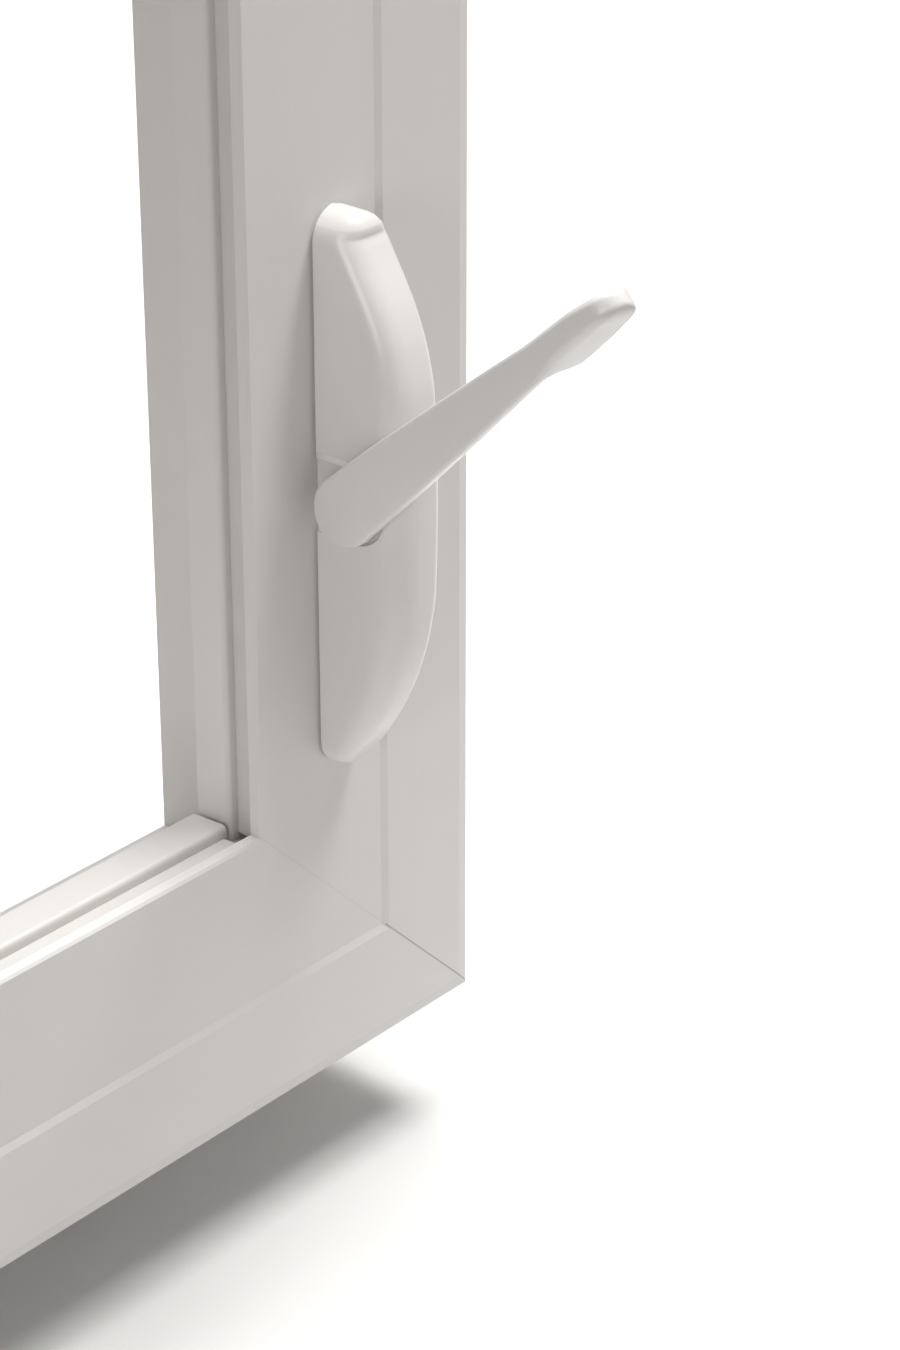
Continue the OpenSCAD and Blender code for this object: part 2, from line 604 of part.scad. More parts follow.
// Pinion and the shaft that joins it to the lever
module lock_pinion() color(steel) at_lock() translate([0, -pivot_out, 0]) rotate([0, 90, 0]) {
    translate([0, 0, -2.5]) linear_extrude(5) pinion_outline();
    translate([0, 0, lever_x + 1.6]) cylinder(r = 3, h = 4);
    translate([0, 0, -housing_t / 2 + hub_recess]) cylinder(r = pin_r, h = 5);
    translate([0, 0, 2]) cylinder(r = 3, h = 2.8);
}
module pinion_outline() {
    circle(pinion_r - 1.3 * tooth_mod);
    for (i = [0 : pinion_teeth - 1]) rotate(i * 360 / pinion_teeth) polygon([
        [pinion_r - 1.6 * tooth_mod, -1.25], [pinion_r, -0.75], [pinion_r + 0.8 * tooth_mod, -0.3],
        [pinion_r + 0.8 * tooth_mod, 0.3], [pinion_r, 0.75], [pinion_r - 1.6 * tooth_mod, 1.25]]);
}
module lock_rack() color(steel) at_lock() translate([0, -pivot_out + pinion_r, 0]) {
    pitch = PI * tooth_mod;
    translate([-3, tooth_mod * 1.1, -5.5 * pitch]) cube([6, pivot_out - pinion_r - tooth_mod * 1.1 - 0.2, 8 * pitch]);
    for (i = [-5 : 2]) translate([-2.4, 0, (i - 0.5) * pitch]) rotate([90, 0, 90]) linear_extrude(4.8)
        polygon([[1.2 * tooth_mod, -1.3], [0, -0.75], [-0.8 * tooth_mod, -0.35],
                 [-0.8 * tooth_mod, 0.35], [0, 0.75], [1.2 * tooth_mod, 1.3]]);
}

// Yoke: from the rack, through the front box, to the tie bar on the pocket floor
yoke_z = -stroke / 2 - 5;
module lock_yoke() color(steel) translate([frame_w / 2, -fin_setback, lock_z + yoke_z])
    mirror([1, 0, 0]) linear_extrude(10) {
        translate([43.6, band_step - 0.2]) square([3, 9.2 - band_step]);
        translate([bar_h + bar_t, 6]) square([46.6 - bar_h - bar_t, 3]);
        translate([bar_h + bar_t, 6]) square([2.4, bar_d + 6]);
    }

module tie_bar() color(steel) translate([frame_w / 2 - bar_h - bar_t, bar_d - fin_setback, bottom + 130])
    cube([bar_t, bar_w, 720]);

module locking_studs() color(steel) for (z = stud_at)
    translate([frame_w / 2 - bar_h - bar_t, bar_d + 8 - fin_setback, bottom + z - stroke])
        rotate([0, -90, 0]) union() {
            cylinder(r = 3.8, h = 3.6);
            translate([0, 0, 3.6]) cylinder(r = 4.4, h = 1.2);
        }

// Guides: small bridges over the tie bar
module tie_bar_guides() color(steel) for (z = guide_at)
    translate([frame_w / 2 - pocket_h, bar_d - fin_setback, bottom + z]) difference() {
        translate([-5.4, -6, -7]) cube([5.4, bar_w + 12, 14]);
        translate([-3.4, -0.5, -8]) cube([3.4 + eps, bar_w + 1, 16]);
    }

// Keepers on the edge of the lock stile: a base plate and a flange that the stud passes behind
module on_lock_edge() in_sash() translate([sash_w / 2, bar_d - sash_d, -sash_h / 2 - sash_end]) children();
module keepers() color(steel) for (z = stud_at) on_lock_edge() translate([0, 0, z]) difference() {
    union() {
        translate([0, -4, -16]) cube([1.4, 18, 32]);
        translate([0, 0.8, -8]) cube([3.6, 2.6, 16]);
    }
    for (s = [-12, 12]) translate([-1, 2, s]) rotate([0, 90, 0]) cylinder(r = 1.6, h = 4);
}
module keeper_screws() color(steel) for (z = stud_at, s = [-12, 12]) on_lock_edge()
    translate([0, 2, z + s]) rotate([0, 90, 0]) union() {
        translate([0, 0, -wall - 4]) cylinder(r = 1.5, h = wall + 5.5);
        translate([0, 0, 1.5]) cylinder(r = 2.8, h = 0.9);
    }

frame_sill();
frame_head();
frame_hinge_jamb();
frame_lock_jamb();
stop_sill();
stop_head();
stop_hinge_jamb();
stop_lock_jamb();
groove_gasket();
frame_weatherseal();
nailing_fins();
sash_bottom_rail();
sash_top_rail();
sash_hinge_stile();
sash_lock_stile();
glazing_bead_bottom();
glazing_bead_top();
glazing_bead_hinge();
glazing_bead_lock();
pane_indoor();
pane_outdoor();
glass_spacer();
gasket_indoor();
gasket_outdoor();
setting_blocks();
hinge_track_lower();
hinge_track_upper();
track_pivot_pins();
support_arm_lower();
support_arm_upper();
hinge_shoe_lower();
hinge_shoe_upper();
sash_bar_lower();
sash_bar_upper();
sash_bar_pins();
track_screws();
operator_base();
operator_cover();
operator_screws();
worm_shaft();
operator_gear_arm();
operator_link();
operator_sash_bracket();
crank_handle();
crank_knob();
crank_set_screw();
lock_housing();
lock_base();
lock_lever();
lock_pinion();
lock_rack();
lock_yoke();
lock_screws();
tie_bar();
tie_bar_guides();
locking_studs();
keepers();
keeper_screws();
sash_bar_screws();
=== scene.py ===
"""Looks of an outswing casement window: vinyl frame and sash, coated lock lever, steel hardware and glass"""

import json
from math import cos, pi, radians, sin, sqrt

import bmesh
import bpy
from bpy.props import FloatProperty, FloatVectorProperty, PointerProperty
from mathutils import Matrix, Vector


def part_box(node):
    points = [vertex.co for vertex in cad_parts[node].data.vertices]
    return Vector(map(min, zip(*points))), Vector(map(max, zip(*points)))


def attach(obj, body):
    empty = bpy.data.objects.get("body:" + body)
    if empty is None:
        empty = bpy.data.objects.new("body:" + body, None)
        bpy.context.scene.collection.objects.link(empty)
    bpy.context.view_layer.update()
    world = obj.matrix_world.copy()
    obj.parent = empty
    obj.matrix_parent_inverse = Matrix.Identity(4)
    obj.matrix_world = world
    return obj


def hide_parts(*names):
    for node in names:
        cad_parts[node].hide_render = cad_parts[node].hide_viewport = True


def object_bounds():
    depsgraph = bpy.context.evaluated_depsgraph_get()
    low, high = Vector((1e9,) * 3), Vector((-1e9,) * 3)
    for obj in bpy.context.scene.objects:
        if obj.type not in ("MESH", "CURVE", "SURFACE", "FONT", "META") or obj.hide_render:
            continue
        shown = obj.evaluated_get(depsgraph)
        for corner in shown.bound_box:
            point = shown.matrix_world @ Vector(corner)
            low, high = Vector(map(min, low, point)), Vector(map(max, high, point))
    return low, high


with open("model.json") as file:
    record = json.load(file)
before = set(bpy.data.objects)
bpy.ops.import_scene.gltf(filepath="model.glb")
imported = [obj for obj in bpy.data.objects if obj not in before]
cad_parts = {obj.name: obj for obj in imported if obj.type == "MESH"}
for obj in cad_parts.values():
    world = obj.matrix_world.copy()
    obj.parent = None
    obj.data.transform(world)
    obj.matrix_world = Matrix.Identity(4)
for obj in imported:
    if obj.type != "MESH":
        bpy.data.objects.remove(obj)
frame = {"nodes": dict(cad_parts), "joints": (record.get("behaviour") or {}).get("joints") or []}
CAD_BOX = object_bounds()

bl_info = {
    "name": "Casement Window Looks",
    "version": (1, 0, 0),
    "blender": (4, 5, 0),
    "location": "View3D > Sidebar > Window",
    "description": "Dresses the casement window with its finishes, its rounded lock pieces and a studio",
    "category": "Object",
}

MM = 0.001
FLOOR_GAP = 0.002
FLOOR_REACH = 30.0
LAMP_COLOUR = (1.0, 0.985, 0.965)
# name, place, aim, size, spread in degrees, and the setting that holds its power
LAMPS = (
    ("Key lamp", (0.60, -0.36, 0.68), (0.29, 0.10, -0.30), 0.28, 60, "key_power"),
    ("Overhead lamp", (0.62, 0.22, 1.60), (0.62, 0.95, -0.49), 1.3, 110, "overhead_power"),
    ("Fill lamp", (-1.10, -0.45, -0.05), (0.25, 0.0, -0.25), 0.6, 50, "fill_power"),
)
CAMERA_PLACE = (-0.3090, -0.5702, 0.0479)
CAMERA_DIRECTION = (0.6715, 0.5804, -0.4607)
SENSOR_WIDTH = 36
CLIP_START = 0.01


# ---------------------------------------------------------------- settings

class WindowFinish(bpy.types.PropertyGroup):
    """Colours and gloss of the window's finishes"""
    vinyl_colour: FloatVectorProperty(
        name="Vinyl", description="Colour of the frame and sash profiles", subtype="COLOR",
        size=3, min=0, max=1, default=(0.665, 0.645, 0.627))
    vinyl_roughness: FloatProperty(
        name="Vinyl roughness", description="Roughness of the extruded profiles", default=0.40, min=0, max=1)
    coat_colour: FloatVectorProperty(
        name="Handle coating", description="Colour of the coated lock and crank", subtype="COLOR",
        size=3, min=0, max=1, default=(0.700, 0.683, 0.667))
    coat_roughness: FloatProperty(
        name="Coating roughness", description="Roughness of the coated lock and crank", default=0.32,
        min=0, max=1)
    steel_colour: FloatVectorProperty(
        name="Plated steel", description="Colour of the plated steel hardware", subtype="COLOR",
        size=3, min=0, max=1, default=(0.56, 0.57, 0.58))
    seal_colour: FloatVectorProperty(
        name="Seals", description="Colour of the rubber seals", subtype="COLOR",
        size=3, min=0, max=1, default=(0.02, 0.02, 0.021))


class WindowSizes(bpy.types.PropertyGroup):
    """Roundings of the pieces that are shaped here"""
    housing_round: FloatProperty(
        name="Housing rounding", description="Rounding of the lock housing's front edges",
        default=6.4 * MM, min=0.001, max=0.008, unit="LENGTH")
    lever_round: FloatProperty(
        name="Lever rounding", description="Rounding of the lever's long edges",
        default=1.1 * MM, min=0.0003, max=0.0018, unit="LENGTH")
    cover_round: FloatProperty(
        name="Cover rounding", description="Rounding of the operator cover's front edge",
        default=6 * MM, min=0.001, max=0.009, unit="LENGTH")


class WindowStudio(bpy.types.PropertyGroup):
    """Light and camera"""
    key_power: FloatProperty(
        name="Key light", description="Power of the softbox above and to the right", default=0.95,
        min=0, unit="POWER")
    overhead_power: FloatProperty(
        name="Overhead light", description="Power of the wide lamp over the floor behind the window",
        default=30.0, min=0, unit="POWER")
    fill_power: FloatProperty(
        name="Fill light", description="Power of the wide lamp at the left", default=0.45,
        min=0, unit="POWER")
    sky_strength: FloatProperty(
        name="Surroundings", description="Strength of the white surroundings", default=0.25, min=0)
    focal_length: FloatProperty(
        name="Focal length", description="Focal length of the camera in millimetres", default=102.68, min=20)


# ---------------------------------------------------------------- shader maths

class Value:
    """A socket that Python arithmetic works on"""

    def __init__(self, look, socket):
        self.look = look
        self.socket = socket

    def _math(self, operation, a, b):
        return self.look.add("ShaderNodeMath", {"operation": operation}, {0: a, 1: b})

    def __add__(self, other):
        return self._math("ADD", self, other)

    __radd__ = __add__

    def __mul__(self, other):
        return self._math("MULTIPLY", self, other)

    __rmul__ = __mul__

    def __sub__(self, other):
        return self._math("SUBTRACT", self, other)

    def __rsub__(self, other):
        return self._math("SUBTRACT", other, self)

    def __abs__(self):
        return self._math("ABSOLUTE", self, 0)

    def __lt__(self, other):
        return self._math("LESS_THAN", self, other)

    def __gt__(self, other):
        return self._math("GREATER_THAN", self, other)


class Look:
    """A node material around one Principled shader"""

    def __init__(self, name, **constants):
        self.material = bpy.data.materials.new(name)
        self.material.use_nodes = True
        self.nodes = self.material.node_tree.nodes
        self.links = self.material.node_tree.links
        self.shader = self.nodes["Principled BSDF"]
        for socket, value in constants.items():
            self.shader.inputs[socket.replace("_", " ")].default_value = value
        self.place = self.add("ShaderNodeTexCoord", out="Object")

    def add(self, kind, settings=None, sockets=None, out=0):
        node = self.nodes.new(kind)
        for name, value in (settings or {}).items():
            if name == "stops":
                ramp = node.color_ramp
                while len(ramp.elements) < len(value):
                    ramp.elements.new(0.5)
                for element, (position, shade) in zip(ramp.elements, value):
                    element.position = position
                    element.color = (shade, shade, shade, 1)
            else:
                setattr(node, name, value)
        for name, value in (sockets or {}).items():
            if isinstance(value, Value):
                self.links.new(value.socket, node.inputs[name])
            else:
                node.inputs[name].default_value = value
        return Value(self, node.outputs[out])

    def noise(self, scale, detail=2.0, stretch=(1, 1, 1), rough=0.5):
        spot = self.add("ShaderNodeMapping", {}, {"Vector": self.place, "Scale": stretch})
        return self.add("ShaderNodeTexNoise", {}, {"Vector": spot, "Scale": scale, "Detail": detail,
                                                   "Roughness": rough})

    def axis(self, letter):
        """Place along one axis of the part"""
        return self.add("ShaderNodeSeparateXYZ", {}, {0: self.place}, out=letter)

    def ramp(self, value, stops):
        return self.add("ShaderNodeValToRGB", {"stops": stops}, {"Fac": value})

    def mix(self, amount, low, high):
        """Colour that goes from low to high with amount, where low may be a socket"""
        start = low if isinstance(low, Value) else (*low, 1)
        return self.add("ShaderNodeMix", {"data_type": "RGBA"}, {0: amount, 6: start, 7: (*high, 1)}, out=2)

    def bump(self, height, distance, strength=1.0):
        return self.add("ShaderNodeBump", {}, {"Height": height, "Distance": distance, "Strength": strength})

    def feed(self, **values):
        for socket, value in values.items():
            self.links.new(value.socket, self.shader.inputs[socket.replace("_", " ")])
        return self.material


def scaled(colour, k):
    return tuple(min(1.0, c * k) for c in colour)


def vinyl(name, along, seam=None):
    """Extruded white vinyl: faint die lines along the profile, soft mottling, and the fine welded mitre"""
    finish = bpy.context.scene.window_finish
    base = finish.vinyl_colour
    look = Look(name, IOR=1.53, Coat_Roughness=0.25)
    lines = look.noise(1.0, 3.0, tuple(2.2 if axis == along else 900.0 for axis in "XYZ"))
    mottle = look.noise(9.0, 4.0)
    grain = look.noise(1500.0, 2.0)
    dust = look.ramp(look.noise(60.0, 6.0, rough=0.7), [(0.58, 0.0), (0.80, 1.0)])
    colour = look.mix(mottle * 0.7 + lines * 0.3, scaled(base, 0.955), scaled(base, 1.04))
    colour = look.mix(dust * 0.05, colour, scaled(base, 0.72))
    height = lines * 0.35 + grain * 0.65
    if seam:
        half_w, half_h = seam
        line_width = 0.00028
        band_width = 0.0305
        x, z = look.axis("X"), look.axis("Z")
        line = abs((abs(x) - half_w) - (abs(z) - half_h)) < line_width
        outer = abs(x) > half_w - band_width
        colour = look.mix(line * (outer * 0.62 + 0.10), colour, scaled(base, 0.40))
        height = height - line * (outer * 3.0 + 0.8)
    rough = look.noise(35.0, 3.0) * 0.12 + (finish.vinyl_roughness - 0.06)
    return look.feed(Base_Color=colour, Roughness=rough, Normal=look.bump(height, 0.00004, 0.35))


def flexible(name):
    """Soft white strip of the groove: duller and greyer than the rigid vinyl"""
    base = bpy.context.scene.window_finish.vinyl_colour
    look = Look(name, IOR=1.5)
    bloom = look.noise(80.0, 5.0, rough=0.65)
    ribs = look.noise(1.0, 2.0, (1500.0, 1500.0, 30.0))
    return look.feed(Base_Color=look.mix(bloom * 0.7 + ribs * 0.3, scaled(base, 0.86), scaled(base, 0.98)),
                     Roughness=bloom * 0.15 + 0.52, Normal=look.bump(ribs, 0.00006, 0.5))


def coated(name):
    """Smooth coated die casting: slight orange peel and a soft gloss"""
    finish = bpy.context.scene.window_finish
    base = finish.coat_colour
    look = Look(name, IOR=1.5, Coat_Roughness=0.20, Coat_Weight=0.3)
    peel = look.noise(420.0, 2.0)
    ripple = look.noise(90.0, 2.0)
    colour = look.mix(look.noise(22.0, 4.0), scaled(base, 0.97), scaled(base, 1.03))
    rough = look.noise(70.0, 4.0, rough=0.65) * 0.14 + (finish.coat_roughness - 0.06)
    return look.feed(Base_Color=colour, Roughness=rough,
                     Normal=look.bump(peel * 0.5 + ripple * 0.5, 0.00005, 0.30))


def steel(name, along="X"):
    """Zinc plated steel: drawn lines, cloudy patches and dulled spots"""
    base = bpy.context.scene.window_finish.steel_colour
    look = Look(name, Metallic=1.0, Anisotropic=0.3)
    drawn = look.noise(1.0, 4.0, tuple(12.0 if axis == along else 1400.0 for axis in "XYZ"))
    cloud = look.noise(55.0, 5.0, rough=0.6)
    spots = look.ramp(look.noise(260.0, 4.0), [(0.60, 0.0), (0.72, 1.0)])
    colour = look.mix(cloud * 0.6 + drawn * 0.4, scaled(base, 0.80), scaled(base, 1.15))
    colour = look.mix(spots * 0.25, colour, (0.40, 0.38, 0.33))
    return look.feed(Base_Color=colour, Roughness=cloud * 0.25 + spots * 0.12 + 0.24,
                     Normal=look.bump(drawn, 0.00003, 0.5))


def rubber(name):
    """Matt black rubber with a dusty bloom"""
    base = bpy.context.scene.window_finish.seal_colour
    look = Look(name, IOR=1.5)
    bloom = look.noise(120.0, 5.0, rough=0.7)
    colour = look.mix(bloom, base, scaled(base, 2.6))
    return look.feed(Base_Color=colour, Roughness=bloom * 0.2 + 0.62,
                     Normal=look.bump(look.noise(1800.0, 2.0), 0.00005, 0.4))


def nylon(name):
    """Moulded black nylon"""
    look = Look(name, IOR=1.53)
    cloud = look.noise(150.0, 4.0)
    return look.feed(Base_Color=look.mix(cloud, (0.012, 0.012, 0.013), (0.045, 0.045, 0.048)),
                     Roughness=cloud * 0.2 + 0.38, Normal=look.bump(look.noise(1300.0, 2.0), 0.00004, 0.4))


def mill_aluminium(name):
    """Spacer bar of the double glazing, with its rows of breathing holes"""
    look = Look(name, Metallic=1.0)
    drawn = look.noise(1.0, 3.0, (200.0, 900.0, 40.0))
    row = look.add("ShaderNodeMath", {"operation": "FRACT"}, {0: (look.axis("X") + look.axis("Z")) * 250.0})
    holes = abs(row - 0.5) < 0.08
    colour = look.mix(drawn, (0.52, 0.53, 0.54), (0.72, 0.73, 0.74))
    colour = look.mix(holes * 0.5, colour, (0.12, 0.12, 0.12))
    return look.feed(Base_Color=colour, Roughness=drawn * 0.2 + 0.28, Normal=look.bump(drawn, 0.00003, 0.4))


def clear_glass(name):
    """Float glass: a trace of green, faint wipe marks and waviness"""
    look = Look(name, IOR=1.52, Transmission_Weight=1.0)
    wipes = look.ramp(look.noise(7.0, 6.0, (1.0, 1.0, 0.35), 0.7), [(0.50, 0.0), (0.85, 1.0)])
    colour = look.mix(wipes, (0.955, 0.985, 0.975), (0.93, 0.955, 0.95))
    return look.feed(Base_Color=colour, Roughness=wipes * 0.06 + 0.008,
                     Normal=look.bump(look.noise(3.0, 1.0), 0.0001, 0.15))


# ---------------------------------------------------------------- mesh making

def follow(points, t):
    """Smooth curve through points of (position, values...), read at t"""
    if t <= points[0][0]:
        return points[0][1:]
    if t >= points[-1][0]:
        return points[-1][1:]
    i = max(k for k in range(len(points) - 1) if points[k][0] <= t)
    a, b = points[i], points[i + 1]
    span = b[0] - a[0]
    s = (t - a[0]) / span

    def slope(k, column):
        low, high = points[max(k - 1, 0)], points[min(k + 1, len(points) - 1)]
        here = points[k]
        before = (here[column] - low[column]) / ((here[0] - low[0]) or 1)
        after = (high[column] - here[column]) / ((high[0] - here[0]) or 1)
        if k in (0, len(points) - 1):
            return before + after
        return 0.0 if before * after <= 0 else 2 * before * after / (before + after)

    return tuple(
        (2 * s ** 3 - 3 * s ** 2 + 1) * a[c] + (s ** 3 - 2 * s ** 2 + s) * span * slope(i, c)
        + (3 * s ** 2 - 2 * s ** 3) * b[c] + (s ** 3 - s ** 2) * span * slope(i + 1, c)
        for c in range(1, len(a)))


def rounded(x0, x1, y0, y1, r, steps=5):
    """Points of a rectangle with rounded corners"""
    r = max(min(r, (x1 - x0) * 0.499, (y1 - y0) * 0.499), 1e-6)
    corners = [(x1 - r, y1 - r, 0), (x0 + r, y1 - r, 90), (x0 + r, y0 + r, 180), (x1 - r, y0 + r, 270)]
    return [(cx + r * cos(radians(start + 90 * k / steps)), cy + r * sin(radians(start + 90 * k / steps)))
            for cx, cy, start in corners for k in range(steps + 1)]


def quarter(cx, cy, r, start, steps=8):
    """Points of a quarter circle that bulges to the room, from start degrees"""
    angles = [radians(start + 90 * k / steps) for k in range(steps + 1)]
    return [(cx + r * cos(a), cy - r * sin(a)) for a in angles]


def loft(mesh, rings):
    """Skin over closed rings of equal length, with both ends closed"""
    made = [[mesh.verts.new(p) for p in ring] for ring in rings]
    count = len(made[0])
    for low, high in zip(made, made[1:]):
        for k in range(count):
            mesh.faces.new((low[k], low[(k + 1) % count], high[(k + 1) % count], high[k]))
    mesh.faces.new(list(reversed(made[0])))
    mesh.faces.new(made[-1])


def soften(mesh, sharp):
    """Smooth shading that breaks at edges of more than sharp degrees"""
    for face in mesh.faces:
        face.smooth = True
    for edge in mesh.edges:
        edge.smooth = not (edge.is_manifold and edge.calc_face_angle(0) > radians(sharp))


def to_data(name, mesh):
    """Mesh data made from a bmesh, which is freed"""
    data = bpy.data.meshes.new(name)
    mesh.to_mesh(data)
    mesh.free()
    return data


def add_object(name, data):
    """Object for some data, linked to the scene"""
    made = bpy.data.objects.new(name, data)
    bpy.context.scene.collection.objects.link(made)
    return made


def finish_piece(name, mesh, material, body, slot, *nodes, sharp=38):
    """Turns a bmesh into a piece, which stands in for the CAD nodes where any are named"""
    bmesh.ops.remove_doubles(mesh, verts=mesh.verts, dist=1e-7)
    bmesh.ops.recalc_face_normals(mesh, faces=mesh.faces)
    soften(mesh, sharp)
    data = to_data(name, mesh)
    data.materials.append(material)
    piece = add_object(name, data)
    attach(piece, body)
    if nodes:
        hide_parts(*nodes)
    return piece


def carve(piece, cutter):
    """Cuts a closed bmesh out of a piece"""
    bmesh.ops.recalc_face_normals(cutter, faces=cutter.faces)
    tool = add_object("cutter", to_data("cutter", cutter))
    cut = piece.modifiers.new("cut", "BOOLEAN")
    cut.object = tool
    cut.solver = "EXACT"
    graph = bpy.context.evaluated_depsgraph_get()
    result = bpy.data.meshes.new_from_object(piece.evaluated_get(graph))
    piece.modifiers.remove(cut)
    piece.data = result
    bpy.data.objects.remove(tool)
    shaped = bmesh.new()
    shaped.from_mesh(result)
    soften(shaped, sharp=20)
    shaped.to_mesh(result)
    shaped.free()


def dress(node, material):
    """Gives a CAD node its material"""
    data = frame["nodes"][node].data
    if not data.materials:
        data.materials.append(material)
    for index in range(len(data.materials)):
        data.materials[index] = material


# ---------------------------------------------------------------- pieces

def lock_middle():
    """Middle of the lock housing across and up, and the face it stands on"""
    low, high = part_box("lock_housing")
    return (low[0] + high[0]) / 2, high[1], (low[2] + high[2]) / 2


def lever_pivot():
    """Pivot of the lever, and the outer face of its flat side"""
    joint = next(j for j in frame["joints"] if j["name"] == "lever_turn")
    return Vector(joint["pos_m"]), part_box("lock_lever")[0][0]


class WINDOW_OT_profiles(bpy.types.Operator):
    """Dress the frame and sash profiles, stops, beads and fins in white vinyl"""
    bl_idname = "window.profiles"
    bl_label = "Frame and sash profiles"

    def execute(self, context):
        low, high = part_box("frame_lock_jamb")
        half_h = (high[2] - low[2]) / 2
        half_w = high[0]
        across = vinyl("Vinyl.across", "X", (half_w, half_h))
        upright = vinyl("Vinyl.upright", "Z", (half_w, half_h))
        plain_across = vinyl("Vinyl.trim.across", "X")
        plain_upright = vinyl("Vinyl.trim.upright", "Z")
        for node in ("frame_sill", "frame_head"):
            dress(node, across)
        for node in ("frame_hinge_jamb", "frame_lock_jamb"):
            dress(node, upright)
        for node in ("stop_sill", "stop_head", "sash_bottom_rail", "sash_top_rail", "nailing_fins",
                     "glazing_bead_bottom", "glazing_bead_top"):
            dress(node, plain_across)
        dress("groove_gasket", flexible("Flexible vinyl"))
        for node in ("stop_hinge_jamb", "stop_lock_jamb", "sash_hinge_stile", "sash_lock_stile",
                     "glazing_bead_hinge", "glazing_bead_lock"):
            dress(node, plain_upright)
        return {"FINISHED"}


class WINDOW_OT_glazing(bpy.types.Operator):
    """Dress the panes, spacer, gaskets, blocks and weatherseal"""
    bl_idname = "window.glazing"
    bl_label = "Glazing and seals"

    def execute(self, context):
        glass = clear_glass("Float glass")
        seal = rubber("Seal rubber")
        for node in ("pane_indoor", "pane_outdoor"):
            dress(node, glass)
        dress("glass_spacer", mill_aluminium("Spacer bar"))
        for node in ("gasket_indoor", "gasket_outdoor", "setting_blocks", "frame_weatherseal"):
            dress(node, seal)
        return {"FINISHED"}


class WINDOW_OT_hardware(bpy.types.Operator):
    """Dress the hinges, operator, lock works, studs, keepers and screws"""
    bl_idname = "window.hardware"
    bl_label = "Steel hardware"

    def execute(self, context):
        flat, tall = steel("Plated steel.flat", "X"), steel("Plated steel.tall", "Z")
        for node in ("hinge_track_lower", "hinge_track_upper", "support_arm_lower", "support_arm_upper",
                     "sash_bar_lower", "sash_bar_upper", "operator_base", "operator_gear_arm",
                     "operator_link", "operator_sash_bracket", "track_screws", "operator_screws",
                     "sash_bar_screws", "lock_screws", "keeper_screws", "locking_studs", "crank_set_screw",
                     "worm_shaft"):
            dress(node, flat)
        for node in ("track_pivot_pins", "sash_bar_pins", "lock_base", "lock_pinion", "lock_rack",
                     "lock_yoke", "tie_bar", "tie_bar_guides", "keepers"):
            dress(node, tall)
        shoe = nylon("Moulded nylon")
        for node in ("hinge_shoe_lower", "hinge_shoe_upper"):
            dress(node, shoe)
        return {"FINISHED"}


